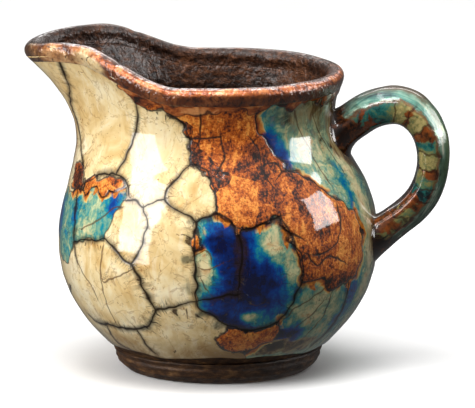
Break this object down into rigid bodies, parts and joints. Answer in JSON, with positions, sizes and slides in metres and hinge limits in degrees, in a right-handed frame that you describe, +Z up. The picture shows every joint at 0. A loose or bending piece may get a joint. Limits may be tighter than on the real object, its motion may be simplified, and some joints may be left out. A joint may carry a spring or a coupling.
{
  "type": "cream jug",
  "caption": "Small round-bellied ceramic jug with a drawn pouring spout, a coiled rim, a turned foot ring and a looped handle, for serving cream or milk.",
  "frame": {"origin": "centre of the foot ring's resting face on the table", "axes": "+Z up, +X towards the handle, so the spout points along -X; +Y is to the left when looking along +X"},
  "size_m": [0.1192, 0.09, 0.094],
  "materials": {
    "body_glaze": "glossy cream crackle glaze with copper, teal and cobalt pools",
    "lip_glaze": "glossy cream glaze breaking to copper brown",
    "rim_glaze": "glossy copper-brown lustre glaze",
    "bare_clay": "dark fired clay, satin, speckled",
    "handle_glaze": "glossy teal glaze breaking to copper brown",
    "joint_glaze": "glossy dark brown glaze running to teal"
  },
  "bodies": {
    "root": {"body": "body_glaze", "spout_lip": "lip_glaze", "rim_coil": "rim_glaze", "foot_ring": "bare_clay", "handle": "handle_glaze", "upper_handle_joint": "joint_glaze", "lower_handle_joint": "joint_glaze"}
  },
  "joints": []
}
